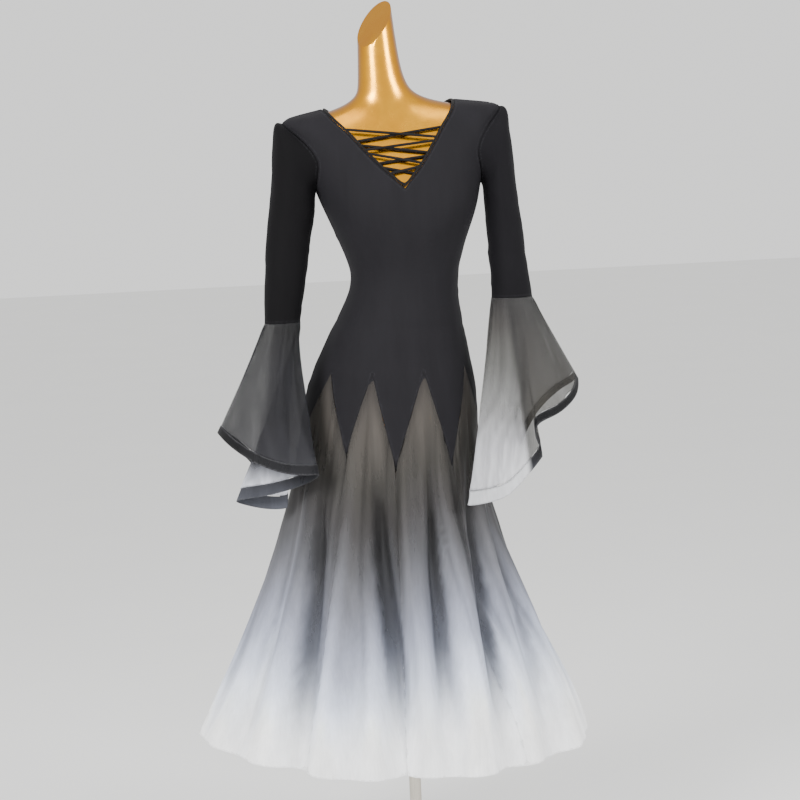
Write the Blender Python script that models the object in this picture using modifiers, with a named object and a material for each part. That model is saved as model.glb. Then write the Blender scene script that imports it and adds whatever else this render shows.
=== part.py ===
"""Ballroom dance dress on a limbless dress form, in metres, +Z up, front towards -Y.

The origin is on the floor, on the axis of the form's pole. Right and left are the wearer's:
the right sleeve is at -X.
"""

import math

import bmesh
import bpy
from mathutils import Vector

# Cloth
KNIT = 0.0015
ORGANZA = 0.0012
BRAID = 0.0020
SEAM_GAP = 0.0005
SIDE_SEAM_GAP = 0.0012
SHOULDER_SEAM_GAP = 0.0026
GORE_SEAM_GAP = 0.0018
ZIGZAG_GAP = 0.0028
REST_GAP = 0.0008
YOKE_LIFT = 0.0036
YOKE_LIFT_FROM = 1.285
FORM_INSET = 0.0025

# Heights above the floor
BUST_LEVEL = 1.345
ZIGZAG_START = 1.030
GODET_TIP = 1.006
POINT_MIDDLE = 0.836
POINT_SIDE = 0.832
POINT_RIGHT = 0.862
HEM_FRONT = 0.268
HEM_SIDE_LIFT = 0.030
HEM_LEAN = 0.020
FORM_BOTTOM = 0.900

# Stand
BASE_RADIUS = 0.160
BASE_THICK = 0.010
COLLAR_RADIUS = 0.024
COLLAR_TOP = 0.070
POLE_RADIUS = 0.0115

# Rings of the figure. Each closed ring is an ellipse whose height may differ at the front,
# side and back, so that the same rings run over the shoulders and up the neck.
# level, half width, front depth, back depth, front height, side height, back height, shift in x
FIGURE_COLUMNS = ("level", "wide", "front", "back", "z_front", "z_side", "z_back", "shift")
FIGURE = (
    (0.880, 0.168, 0.120, 0.124, 0.880, 0.880, 0.880, -0.019),
    (0.940, 0.162, 0.115, 0.120, 0.940, 0.940, 0.940, -0.014),
    (1.000, 0.152, 0.108, 0.113, 1.000, 1.000, 1.000, -0.009),
    (1.040, 0.139, 0.103, 0.105, 1.040, 1.040, 1.040, -0.002),
    (1.100, 0.118, 0.095, 0.090, 1.100, 1.100, 1.100, 0.009),
    (1.140, 0.104, 0.089, 0.082, 1.140, 1.140, 1.140, 0.018),
    (1.180, 0.099, 0.086, 0.078, 1.180, 1.180, 1.180, 0.026),
    (1.230, 0.112, 0.096, 0.080, 1.230, 1.230, 1.230, 0.024),
    (1.290, 0.137, 0.110, 0.087, 1.290, 1.290, 1.290, 0.025),
    (1.345, 0.151, 0.106, 0.093, 1.345, 1.345, 1.345, 0.020),
    (1.390, 0.166, 0.096, 0.096, 1.382, 1.410, 1.386, 0.017),
    (1.430, 0.190, 0.080, 0.088, 1.420, 1.462, 1.428, 0.014),
    (1.455, 0.200, 0.069, 0.079, 1.447, 1.482, 1.455, 0.012),
    (1.475, 0.182, 0.062, 0.072, 1.464, 1.488, 1.474, 0.010),
    (1.500, 0.114, 0.053, 0.060, 1.487, 1.500, 1.496, 0.006),
    (1.525, 0.054, 0.046, 0.050, 1.512, 1.522, 1.520, 0.001),
    (1.560, 0.042, 0.043, 0.043, 1.556, 1.560, 1.560, -0.006),
    (1.610, 0.037, 0.040, 0.039, 1.610, 1.610, 1.610, -0.009),
    (1.660, 0.033, 0.037, 0.036, 1.660, 1.660, 1.660, -0.012),
    (1.720, 0.031, 0.035, 0.034, 1.720, 1.720, 1.720, -0.014),
)
NECK_CUT_CENTRE = (-0.012, 0.000, 1.655)
NECK_CUT_NORMAL = (-0.61, -0.49, 0.62)
SHOULDER_TILT = 0.035
TILT_FROM = 1.200
TILT_FULL = 1.460
BUST = {"angle": 34.0, "level": 1.290, "spread": 24.0, "height": 0.045, "rise": 0.013}

# The skirt's outer envelope below the hips, outside which no fold stands.
SKIRT_COLUMNS = ("level", "wide", "front", "back", "shift")
SKIRT = (
    (0.230, 0.392, 0.284, 0.290, -0.036),
    (0.290, 0.382, 0.272, 0.278, -0.036),
    (0.330, 0.372, 0.262, 0.268, -0.035),
    (0.420, 0.328, 0.238, 0.242, -0.031),
    (0.510, 0.285, 0.214, 0.218, -0.030),
    (0.650, 0.228, 0.176, 0.180, -0.029),
    (0.740, 0.199, 0.153, 0.157, -0.028),
    (0.860, 0.174, 0.126, 0.130, -0.021),
    (0.940, 0.1670, 0.1200, 0.1250, -0.014),
    (1.000, 0.1570, 0.1122, 0.1172, -0.009),
    (1.030, 0.1452, 0.1075, 0.1104, -0.0037),
)

# Soft folds that run down the skirt: where each starts and ends round the body, in degrees
# from the front towards the wearer's left, its half width, its depth at the hem, and its top.
FOLD_COLUMNS = ("at_top", "at_hem", "half_width", "depth", "top")
FOLDS = (
    (-72, -57, 7.5, 0.016, 0.86),
    (-50, -36, 6.0, 0.036, 0.90),
    (-28, -16, 5.0, 0.020, 0.90),
    (-13, 0, 6.5, 0.058, 0.90),
    (24, 12.5, 4.2, 0.044, 0.90),
    (56, 32, 6.0, 0.036, 0.90),
    (76, 51, 7.0, 0.022, 0.86),
    (104, 80, 6.0, 0.012, 0.82),
    (112, 108, 6.5, 0.022, 0.84),
    (126, 127, 5.5, 0.030, 0.84),
    (145, 146, 6.5, 0.048, 0.90),
    (163, 164, 5.0, 0.024, 0.90),
    (182, 182, 6.5, 0.052, 0.90),
    (200, 200, 5.0, 0.026, 0.90),
    (217, 216, 6.5, 0.046, 0.90),
    (236, 235, 5.5, 0.028, 0.84),
    (254, 252, 6.5, 0.020, 0.86),
)

# Columns round the body, from the middle of the front or back to the side, and the heights at
# which the zigzag seam turns on them.
FRONT_RIGHT = (0, 9, 18, 25, 32, 42, 52, 71, 90)
FRONT_LEFT = (0, 9, 18, 28, 38, 48, 58, 74, 90)
BACK = (0, 9, 18, 28, 38, 48, 58, 74, 90)
TURN_COLUMNS = (0, 2, 4, 6, 8)
BODICE_LEVELS = (1.030, 1.070, 1.110, 1.145, 1.180, 1.220, 1.260, 1.303, 1.345)
FORM_LOWER_LEVELS = (0.900, 0.945, 0.990)
FORM_UPPER_LEVELS = (
    1.372, 1.400, 1.425, 1.442, 1.456, 1.470, 1.484, 1.498, 1.512, 1.526, 1.543, 1.565, 1.610, 1.720,
)
ZIGZAG_ROWS = 4
YOKE_ROWS = 11
YOKE_CROWDING = 1.3
GORE_ROWS = 9
GORE_STEP = 4.0

# Edges of the yoke on the figure, as angle and level: the neck point, shoulder tip and how far
# the armhole bows in from the side seam.
NECK_POINT_LEVEL = 1.496
SHOULDER_TIP_LEVEL = 1.456
ARMHOLE_BOW = 30.0
BACK_NECK_LEVEL = 1.420
BACK_NECK_COLUMNS = 5

# Sleeves: the ring's inner and outer points, its depth and its middle. x is outwards.
SLEEVE_COLUMNS = ("step", "x_in", "z_in", "x_out", "z_out", "deep", "y")
SLEEVE_RIGHT = (
    (0, 0.1385, 1.338, 0.210, 1.479, 0.052, 0.000),
    (1, 0.139, 1.326, 0.215, 1.432, 0.052, -0.002),
    (2, 0.142, 1.298, 0.221, 1.362, 0.050, -0.006),
    (3, 0.150, 1.262, 0.231, 1.298, 0.047, -0.013),
    (4, 0.159, 1.215, 0.240, 1.232, 0.044, -0.026),
    (5, 0.171, 1.160, 0.246, 1.168, 0.041, -0.042),
    (6, 0.181, 1.106, 0.249, 1.106, 0.037, -0.055),
)
SLEEVE_LEFT = (
    (0, 0.180, 1.343, 0.233, 1.492, 0.052, 0.000),
    (1, 0.181, 1.330, 0.236, 1.446, 0.052, -0.002),
    (2, 0.181, 1.304, 0.241, 1.376, 0.050, -0.006),
    (3, 0.181, 1.268, 0.246, 1.306, 0.047, -0.013),
    (4, 0.182, 1.224, 0.251, 1.242, 0.044, -0.026),
    (5, 0.182, 1.178, 0.254, 1.186, 0.041, -0.042),
    (6, 0.180, 1.132, 0.258, 1.132, 0.039, -0.055),
)
SLEEVE_ROWS = 8

# Flounce hems: the turn round the cuff, in degrees from the inner side towards the front,
# and where the cloth that starts there ends. x is outwards, y is world, z is the height.
HEM_COLUMNS = ("turn", "x", "y", "z")
FLOUNCE_HEM_RIGHT = (
    (2, 0.318, -0.084, 0.780),
    (18, 0.258, -0.098, 0.788),
    (35, 0.192, -0.112, 0.806),
    (52, 0.165, -0.136, 0.826),
    (72, 0.187, -0.160, 0.830),
    (98, 0.234, -0.168, 0.838),
    (125, 0.284, -0.154, 0.858),
    (152, 0.326, -0.112, 0.885),
    (180, 0.348, -0.050, 0.905),
    (215, 0.334, 0.000, 0.885),
    (245, 0.298, 0.022, 0.850),
    (270, 0.264, 0.004, 0.810),
    (292, 0.240, -0.034, 0.782),
    (312, 0.222, -0.066, 0.757),
    (328, 0.264, -0.058, 0.756),
    (345, 0.308, -0.058, 0.768),
)
FLOUNCE_HEM_LEFT = (
    (12, 0.106, -0.150, 0.754),
    (30, 0.138, -0.156, 0.757),
    (50, 0.184, -0.150, 0.768),
    (68, 0.224, -0.134, 0.802),
    (84, 0.254, -0.134, 0.838),
    (98, 0.240, -0.148, 0.870),
    (112, 0.238, -0.168, 0.900),
    (130, 0.284, -0.158, 0.918),
    (155, 0.326, -0.110, 0.944),
    (180, 0.342, -0.050, 0.971),
    (205, 0.338, -0.010, 0.959),
    (230, 0.312, 0.020, 0.938),
    (260, 0.272, 0.024, 0.900),
    (285, 0.238, -0.006, 0.856),
    (310, 0.204, -0.060, 0.812),
    (335, 0.164, -0.112, 0.778),
    (354, 0.122, -0.138, 0.762),
)
FLOUNCE_ROUND = 48
FLOUNCE_ROWS = 5
FLARE_POWER = 1.05
BRAID_SHARE = 0.075
BRAID_GAP_SHARE = 0.006

# Lacing: where each run meets the V, as a share of the way up its right and left edges, and
# how far it stands off the form, because the runs cross.
LACE_RADIUS = 0.0019
LACE_STEPS = 6
LACE_END_CLEAR = 0.0053
LACE_COLUMNS = ("name", "right", "left", "off")
LACES = (
    ("lace_1", 0.745, 0.590, 0.0051),
    ("lace_2", 0.615, 0.700, 0.0008),
    ("lace_3", 0.575, 0.435, 0.0008),
    ("lace_4", 0.505, 0.555, 0.0051),
    ("lace_5", 0.465, 0.310, 0.0051),
    ("lace_6", 0.350, 0.400, 0.0008),
    ("lace_7", 0.310, 0.185, 0.0008),
    ("lace_8", 0.200, 0.275, 0.0051),
)
BINDING_RADIUS = 0.0018
BINDING_ASIDE = 0.0026

BLACK = (0.012, 0.012, 0.014, 1.0)
GREY = (0.16, 0.16, 0.17, 1.0)
SMOKE = (0.05, 0.05, 0.055, 1.0)
GOLD = (0.72, 0.44, 0.13, 1.0)
STEEL = (0.55, 0.53, 0.50, 1.0)


def smooth_curve(rows, column):
    """A smooth function of the first column through the values of another."""
    xs = [row[0] for row in rows]
    ys = [row[column] for row in rows]
    steps = [(ys[i + 1] - ys[i]) / (xs[i + 1] - xs[i]) for i in range(len(xs) - 1)]

    def slope(i):
        if i == 0 or i == len(xs) - 1:
            return steps[min(i, len(steps) - 1)]
        before, after = steps[i - 1], steps[i]
        return 2 * before * after / (before + after) if before * after > 0 else 0.0

    def value(x):
        x = min(max(x, xs[0]), xs[-1])
        i = max(k for k in range(len(steps)) if xs[k] <= x)
        span = xs[i + 1] - xs[i]
        t = (x - xs[i]) / span
        rise = ys[i + 1] - ys[i]
        start, end = slope(i) * span, slope(i + 1) * span
        return ys[i] + t * (start + t * (3 * rise - 2 * start - end + t * (start + end - 2 * rise)))

    return value


def curves(columns, rows):
    return {name: smooth_curve(rows, i) for i, name in enumerate(columns) if i}


def smooth_step(x):
    x = min(max(x, 0.0), 1.0)
    return x * x * (3 - 2 * x)


def mix(a, b, share):
    return a + (b - a) * share


FIGURE_CURVES = curves(FIGURE_COLUMNS, FIGURE)
SKIRT_CURVES = curves(SKIRT_COLUMNS, SKIRT)


def tilted(x, z):
    """The height once the shoulders lean, rising towards the wearer's left."""
    share = smooth_step((z - TILT_FROM) / (TILT_FULL - TILT_FROM))
    return z + SHOULDER_TILT * share * x


def figure_point(angle, level):
    """A point on the form, at an angle in degrees from the front towards the wearer's left."""
    at = {name: curve(level) for name, curve in FIGURE_CURVES.items()}
    turn = math.radians(angle)
    side, ahead = math.sin(turn), math.cos(turn)
    depth, height = (at["front"], at["z_front"]) if ahead > 0 else (at["back"], at["z_back"])
    off_bust = (abs((angle + 180) % 360 - 180) - BUST["angle"]) / BUST["spread"]
    off_level = (level - BUST["level"]) / BUST["height"]
    depth += BUST["rise"] * math.exp(-off_bust ** 2 - off_level ** 2)
    x = at["wide"] * side
    z = mix(height, at["z_side"], side * side)
    return Vector((x + at["shift"], -depth * ahead, tilted(x, z)))


def worn_point(angle, level, out=REST_GAP + KNIT):
    """A point on cloth that lies on the form, its outer side moved out from the form."""
    turn, rise = 0.5, 0.002
    along = figure_point(angle + turn, level) - figure_point(angle - turn, level)
    up = figure_point(angle, level + rise) - figure_point(angle, level - rise)
    return figure_point(angle, level) + along.cross(up).normalized() * out


def yoke_point(angle, level):
    lift = YOKE_LIFT * smooth_step((level - YOKE_LIFT_FROM) / 0.05)
    return worn_point(angle, level, REST_GAP + KNIT + lift)


def skirt_point(angle, level):
    """A point on the outer side of the cloth below the hips, folds and all."""
    at = {name: curve(level) for name, curve in SKIRT_CURVES.items()}
    turn = math.radians(angle)
    ahead = math.cos(turn)
    x = at["wide"] * math.sin(turn)
    y = -(at["front"] if ahead > 0 else at["back"]) * ahead
    inward = 0.0
    for row in FOLDS:
        fold = dict(zip(FOLD_COLUMNS, row))
        fall = (fold["top"] - level) / (fold["top"] - HEM_FRONT)
        centre = mix(fold["at_top"], fold["at_hem"], smooth_step(fall))
        off = ((angle - centre + 180) % 360 - 180) / fold["half_width"]
        inward += fold["depth"] * smooth_step(2.2 * fall) * math.exp(-off * off)
    shrink = 1 - inward / math.hypot(x, y)
    return Vector((x * shrink + at["shift"], y * shrink, level))


def column_angles():
    """The columns right round the body, from its right side over the front to the back."""
    front = [-a for a in FRONT_RIGHT[::-1]] + list(FRONT_LEFT[1:])
    return front + [180 - a for a in BACK[-2::-1]] + [180 + a for a in BACK[1:-1]]


def zigzag_turns():
    """Angle and height of each turn of the zigzag, from the right side once round."""
    angles = [a for a in column_angles() if a in ZIGZAG_ANGLES] + [270]
    points = {-FRONT_RIGHT[4]: POINT_RIGHT, 0: POINT_MIDDLE, 180: POINT_MIDDLE}
    return [(a, GODET_TIP if i % 2 else points.get(a, POINT_SIDE)) for i, a in enumerate(angles)]


ZIGZAG_ANGLES = {-FRONT_RIGHT[i] for i in TURN_COLUMNS} | {FRONT_LEFT[i] for i in TURN_COLUMNS}
ZIGZAG_ANGLES |= {180 - BACK[i] for i in TURN_COLUMNS} | {180 + BACK[i] for i in TURN_COLUMNS[:-1]}


def zigzag_level(angle):
    """The height of the seam between the bodice and the skirt."""
    angle = (angle + 90) % 360 - 90
    turns = zigzag_turns()
    for (a, low), (b, high) in zip(turns, turns[1:]):
        if a <= angle <= b:
            return mix(low, high, (angle - a) / (b - a))
    return turns[0][1]


def hem_level(angle):
    side = math.sin(math.radians(angle))
    return HEM_FRONT + HEM_SIDE_LIFT * side * side - HEM_LEAN * side


def material(name, colour, roughness, metallic=0.0):
    made = bpy.data.materials.new(name)
    made.use_nodes = True
    shader = made.node_tree.nodes["Principled BSDF"]
    shader.inputs["Base Color"].default_value = colour
    shader.inputs["Roughness"].default_value = roughness
    shader.inputs["Metallic"].default_value = metallic
    made.diffuse_color = colour
    return made


def place(name, mesh, finish, home):
    made = bpy.data.objects.new(name, mesh)
    mesh.materials.append(finish)
    home.objects.link(made)
    return made


def surface_of(name, grids, closed=False, flipped=False):
    """An open surface through grids of points, each row left to right and each grid upwards."""
    shape = bmesh.new()
    for grid in grids:
        rows = [[shape.verts.new(p) for p in row] for row in grid]
        across = len(rows[0])
        for low, high in zip(rows, rows[1:]):
            for i in range(across if closed else across - 1):
                j = (i + 1) % across
                corners = (low[i], low[j], high[j], high[i])
                shape.faces.new(corners[::-1] if flipped else corners)
    bmesh.ops.remove_doubles(shape, verts=shape.verts, dist=1e-5)
    mesh = bpy.data.meshes.new(name)
    shape.to_mesh(mesh)
    shape.free()
    mesh.shade_smooth()
    return mesh


def cloth(name, grids, thickness, finish, home, closed=False, flipped=False, offset=-1.0):
    """A wall of cloth: a surface through its outer points, thickened inwards."""
    made = place(name, surface_of(name, grids, closed, flipped), finish, home)
    wall = made.modifiers.new("wall", "SOLIDIFY")
    wall.thickness = thickness
    wall.offset = offset
    return made


def v_edge(share):
    """Angle and level on the front neck edge, from the bottom of the V up to the neck point."""
    level = mix(BUST_LEVEL, NECK_POINT_LEVEL, share)
    reach = FIGURE_CURVES["wide"](NECK_POINT_LEVEL) * share
    return math.degrees(math.asin(min(1.0, reach / FIGURE_CURVES["wide"](level)))), level


def back_neck_edge(share):
    """Angle and level on the back neck edge, an oval in plan, from its middle to the neck point."""
    turn = share * math.pi / 2
    aside = FIGURE_CURVES["wide"](NECK_POINT_LEVEL) * math.sin(turn)
    behind = FIGURE_CURVES["back"](BACK_NECK_LEVEL) * math.cos(turn)
    low, high = BACK_NECK_LEVEL, NECK_POINT_LEVEL
    for _ in range(30):
        level = (low + high) / 2
        reach = aside / FIGURE_CURVES["wide"](level)
        outside = FIGURE_CURVES["back"](level) * math.sqrt(max(0.0, 1 - reach * reach)) > behind
        low, high = (level, high) if outside else (low, level)
    return 180 - math.degrees(math.asin(min(1.0, reach))), level


def armhole_edge(share, front):
    bow = ARMHOLE_BOW * math.sin(math.pi * share) ** 0.8
    return (90 - bow if front else 90 + bow), mix(BUST_LEVEL, SHOULDER_TIP_LEVEL, share)


def shoulder_edge(share):
    return 90.0, mix(NECK_POINT_LEVEL, SHOULDER_TIP_LEVEL, share)


def yoke_shares():
    return [1 - (1 - i / YOKE_ROWS) ** YOKE_CROWDING for i in range(YOKE_ROWS + 1)]


def yoke(front, columns):
    """Rows of (angle, level) from the bust up to the neck and shoulder, middle to side."""
    last = len(columns) - 1

    def bottom(i):
        return (columns[i] if front else 180 - columns[i]), BUST_LEVEL

    def top(i):
        if front:
            return shoulder_edge(i / last)
        if i <= BACK_NECK_COLUMNS:
            return back_neck_edge(i / BACK_NECK_COLUMNS)
        return shoulder_edge((i - BACK_NECK_COLUMNS) / (last - BACK_NECK_COLUMNS))

    def middle(v):
        return v_edge(v) if front else (180.0, mix(BUST_LEVEL, BACK_NECK_LEVEL, v))

    rows = []
    for v in yoke_shares():
        row = []
        for i in range(last + 1):
            u = i / last
            row.append(tuple(
                (1 - v) * bottom(i)[k] + v * top(i)[k]
                + (1 - u) * middle(v)[k] + u * armhole_edge(v, front)[k]
                - (1 - v) * ((1 - u) * bottom(0)[k] + u * bottom(last)[k])
                - v * ((1 - u) * top(0)[k] + u * top(last)[k])
                for k in (0, 1)
            ))
        rows.append(row)
    return rows


def bodice(front, finish, home):
    """The front or the back, from its zigzag edge to the neck and shoulders."""
    towards = -1 if front else 1

    def seamed(point, angle, gap=SIDE_SEAM_GAP):
        """Moves a point on the side or shoulder seam back by half the gap."""
        return point + Vector((0, towards * gap / 2, 0)) if abs(abs(angle) - 90) < 0.01 else point

    def half(side):
        table = (FRONT_LEFT if side > 0 else FRONT_RIGHT) if front else BACK
        columns = table if front else [180 - a for a in table]
        grid = []
        for i in range(ZIGZAG_ROWS):
            share = i / ZIGZAG_ROWS
            levels = [mix(zigzag_level(side * a), ZIGZAG_START, share) for a in columns]
            grid.append([seamed(skirt_point(side * a, z), a) for a, z in zip(columns, levels)])
        for level in BODICE_LEVELS:
            grid.append([seamed(yoke_point(side * a, level), a) for a in columns])
        for row in yoke(front, table)[1:]:
            grid.append([seamed(yoke_point(side * a, level), a, SHOULDER_SEAM_GAP) for a, level in row])
        leftward = (side > 0) == front
        return grid if leftward else [row[::-1] for row in grid]

    return cloth("bodice_front" if front else "bodice_back", [half(1), half(-1)], KNIT, finish, home)


def armhole_ring(side):
    """Points on the sleeve's first ring, from the armpit over the front and back to it."""
    shares = yoke_shares()
    edges = [armhole_edge(v, True) for v in shares] + [armhole_edge(v, False) for v in shares[-2:0:-1]]
    step = Vector((side, 0, 0.35)).normalized() * (SEAM_GAP + 0.0003)
    return [yoke_point(side * angle, level) + step for angle, level in edges]


def ring_turns():
    """The turn of each point of a sleeve's ring, in degrees from its inner side."""
    up = [180 * v for v in yoke_shares()]
    return up + [360 - t for t in up[-2:0:-1]]


def sleeve_ring(side, table, step, turns):
    at = {name: curve(step) for name, curve in curves(SLEEVE_COLUMNS, table).items()}
    middle = Vector(((at["x_in"] + at["x_out"]) / 2, 0, (at["z_in"] + at["z_out"]) / 2))
    half = Vector(((at["x_out"] - at["x_in"]) / 2, 0, (at["z_out"] - at["z_in"]) / 2))
    ring = []
    for turn in turns:
        t = math.radians(turn)
        p = middle - half * math.cos(t)
        ring.append(Vector((side * p.x, at["y"] - at["deep"] * math.sin(t), p.z)))
    return ring


def sleeve(name, side, table, finish, home):
    last = table[-1][0]
    turns = ring_turns()
    rings = [sleeve_ring(side, table, last * i / SLEEVE_ROWS, turns) for i in range(SLEEVE_ROWS, -1, -1)]
    rings.append(armhole_ring(side))
    return cloth(name, [rings], KNIT, finish, home, closed=True, flipped=side < 0)


def hem_point(side, table, turn):
    """Where the flounce's cloth that starts at this turn of the cuff ends."""
    first, last = table[0], table[-1]
    before = [(row[0] - 360, *row[1:]) for row in table[-2:]]
    after = [(row[0] + 360, *row[1:]) for row in table[:2]]
    rows = [*before, *table, *after]
    at = turn + 360 if turn < first[0] and turn + 360 <= last[0] else turn
    x, y, z = (round_curve(rows, k, at) for k in (1, 2, 3))
    return Vector((side * x, y, z))


def round_curve(rows, column, x):
    """A curve through the rows whose slope at each is that between its neighbours."""
    i = max(k for k in range(1, len(rows) - 2) if rows[k][0] <= x)
    (x0, y0), (x1, y1), (x2, y2), (x3, y3) = ((row[0], row[column]) for row in rows[i - 1:i + 3])
    span = x2 - x1
    start, end = (y2 - y0) / (x2 - x0) * span, (y3 - y1) / (x3 - x1) * span
    t = (x - x1) / span
    rise = y2 - y1
    return y1 + t * (start + t * (3 * rise - 2 * start - end + t * (start + end - 2 * rise)))


def flounce_ring(side, sleeve_table, hem_table, share):
    turns = [360 * i / FLOUNCE_ROUND for i in range(FLOUNCE_ROUND)]
    cuff = sleeve_ring(side, sleeve_table, sleeve_table[-1][0], turns)
    ring = []
    for turn, start in zip(turns, cuff):
        start = start - Vector((0, 0, SEAM_GAP))
        end = hem_point(side, hem_table, turn)
        out = share ** FLARE_POWER
        ring.append(Vector((mix(start.x, end.x, out), mix(start.y, end.y, out), mix(start.z, end.z, share))))
    return ring


def flounce(names, side, sleeve_table, hem_table, finishes, home):
    """The sheer bell at a cuff, and the stiff braid round its edge."""
    edge = 1 - BRAID_SHARE
    shares = [edge * (1 - i / FLOUNCE_ROWS) for i in range(FLOUNCE_ROWS + 1)]
    rings = [flounce_ring(side, sleeve_table, hem_table, share) for share in shares]
    cloth(names[0], [rings], ORGANZA, finishes[0], home, closed=True, flipped=side < 0)
    start = edge + BRAID_GAP_SHARE
    rings = [flounce_ring(side, sleeve_table, hem_table, share) for share in (1.0, (1 + start) / 2, start)]
    cloth(names[1], [rings], BRAID, finishes[1], home, closed=True, flipped=side < 0, offset=-0.8)


def gore(name, low, tip, high, finish, home):
    """One panel of the skirt, between two black points, peaked where it runs up between them."""
    left, right = (max(1, round((b - a) / GORE_STEP)) for a, b in ((low, tip), (tip, high)))
    columns = [mix(low, tip, i / left) for i in range(left)]
    columns += [mix(tip, high, i / right) for i in range(right + 1)]
    grid = []
    for i in range(GORE_ROWS + 1):
        row = []
        for a in columns:
            top = zigzag_level(a) - ZIGZAG_GAP
            level = mix(hem_level(a), top, (i / GORE_ROWS) ** 0.9)
            across = skirt_point(a, level)
            ends = (a == high) - (a == low)
            reach = math.hypot(across.x, across.y)
            turned = a - ends * math.degrees(GORE_SEAM_GAP / 2 / reach)
            row.append(skirt_point(turned, level))
        grid.append(row)
    return cloth(name, [grid], ORGANZA, finish, home)


def on_front(x, z, out):
    """The point at this place in the front view, on the form's front moved out."""
    level = z
    angle = 0.0
    for _ in range(12):
        reach = (x - FIGURE_CURVES["shift"](level)) / FIGURE_CURVES["wide"](level)
        angle = math.degrees(math.asin(min(1.0, max(-1.0, reach))))
        level += z - figure_point(angle, level).z
    return worn_point(angle, level, out)


def tube(name, points, radius, finish, home, closed=False):
    line = bpy.data.curves.new(name, "CURVE")
    line.dimensions = "3D"
    line.bevel_depth = radius
    line.bevel_resolution = 1
    line.use_fill_caps = not closed
    spline = line.splines.new("POLY")
    spline.points.add(len(points) - 1)
    for knot, p in zip(spline.points, points):
        knot.co = (*p, 1.0)
    spline.use_cyclic_u = closed
    return place(name, line, finish, home)


def lace(row, finish, home):
    """A run of lacing, taut across the V and lying over the form's chest."""
    at = dict(zip(LACE_COLUMNS, row))
    ends, edges = [], []
    for side, share in ((-1, at["right"]), (1, at["left"])):
        (a, low), (b, high) = v_edge(share), v_edge(share + 0.05)
        ends.append(yoke_point(side * a, low))
        edges.append(yoke_point(side * b, high) - ends[-1])
    run = ends[1] - ends[0]
    clear = [LACE_END_CLEAR / math.sin(run.angle(edge)) / run.length for edge in edges]
    points = []
    for i in range(LACE_STEPS + 1):
        share = mix(clear[0], 1 - clear[1], i / LACE_STEPS)
        p = ends[0].lerp(ends[1], share)
        points.append(on_front(p.x, p.z, LACE_RADIUS + at["off"]))
    return tube(at["name"], points, LACE_RADIUS, finish, home)


def neck_binding(finish, home):
    """The rolled edge of the neck, down one side of the V, up the other and round the back."""
    v_line = [v_edge(share) for share in yoke_shares()]
    back_line = [back_neck_edge(i / BACK_NECK_COLUMNS) for i in range(BACK_NECK_COLUMNS + 1)]
    edge = [(-a, b) for a, b in v_line[::-1]] + v_line[1:] + back_line[-2::-1]
    edge += [(360 - a, b) for a, b in back_line[1:-1]]
    low = REST_GAP + YOKE_LIFT + BINDING_RADIUS
    line = [worn_point(a, b, low) for a, b in edge]
    points = []
    for i, p in enumerate(line):
        ahead, behind = line[(i + 1) % len(line)] - p, p - line[i - 1]
        normal = (worn_point(*edge[i], low + 0.001) - p).normalized()
        away = normal.cross((ahead + behind).normalized()).normalized()
        points.append(p + away * BINDING_ASIDE / max(0.4, math.cos(ahead.angle(behind) / 2)))
    return tube("neck_binding", points, BINDING_RADIUS, finish, home, closed=True)


def form_torso(finish, home):
    """The limbless figure, flat underneath, its neck cut off on a slant."""
    columns = column_angles()
    levels = (*FORM_LOWER_LEVELS, *BODICE_LEVELS, *FORM_UPPER_LEVELS)
    rings = []
    for level in levels:
        covered = smooth_step((level - 1.40) / 0.04) * smooth_step((1.535 - level) / 0.03)
        rings.append([worn_point(a, level, -FORM_INSET * covered) for a in columns])
    mesh = surface_of("form_torso", [rings], closed=True)
    shape = bmesh.new()
    shape.from_mesh(mesh)
    bmesh.ops.holes_fill(shape, edges=shape.edges)
    cut = bmesh.ops.bisect_plane(
        shape,
        geom=[*shape.verts, *shape.edges, *shape.faces],
        plane_co=NECK_CUT_CENTRE,
        plane_no=NECK_CUT_NORMAL,
        clear_outer=True,
    )
    rim = [g for g in cut["geom_cut"] if isinstance(g, bmesh.types.BMEdge)]
    bmesh.ops.edgeloop_fill(shape, edges=rim)
    bmesh.ops.recalc_face_normals(shape, faces=shape.faces)
    shape.to_mesh(mesh)
    shape.free()
    mesh.shade_smooth()
    mesh.set_sharp_from_angle(angle=math.radians(50))
    return place("form_torso", mesh, finish, home)


def form_pole(finish, home):
    low, high = COLLAR_TOP + SEAM_GAP, FORM_BOTTOM - SEAM_GAP
    shape = bmesh.new()
    bmesh.ops.create_cone(
        shape, cap_ends=True, segments=24, radius1=POLE_RADIUS, radius2=POLE_RADIUS, depth=high - low
    )
    mesh = bpy.data.meshes.new("form_pole")
    shape.to_mesh(mesh)
    shape.free()
    made = place("form_pole", mesh, finish, home)
    made.location = (0, 0, (low + high) / 2)
    return made


def form_base(finish, home):
    """A turned disc with a collar that holds the pole."""
    profile = (
        (0, COLLAR_TOP),
        (COLLAR_RADIUS - 0.003, COLLAR_TOP),
        (COLLAR_RADIUS, COLLAR_TOP - 0.003),
        (COLLAR_RADIUS, BASE_THICK + 0.012),
        (COLLAR_RADIUS + 0.012, BASE_THICK + 0.002),
        (BASE_RADIUS - 0.006, BASE_THICK),
        (BASE_RADIUS, BASE_THICK - 0.005),
        (BASE_RADIUS, 0),
        (0, 0),
    )
    mesh = bpy.data.meshes.new("form_base")
    mesh.from_pydata([(x, 0, z) for x, z in profile], [(i, i + 1) for i in range(len(profile) - 1)], [])
    made = place("form_base", mesh, finish, home)
    turned = made.modifiers.new("turned", "SCREW")
    turned.steps = turned.render_steps = 36
    turned.use_merge_vertices = True
    turned.merge_threshold = 0.0001
    return made


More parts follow.
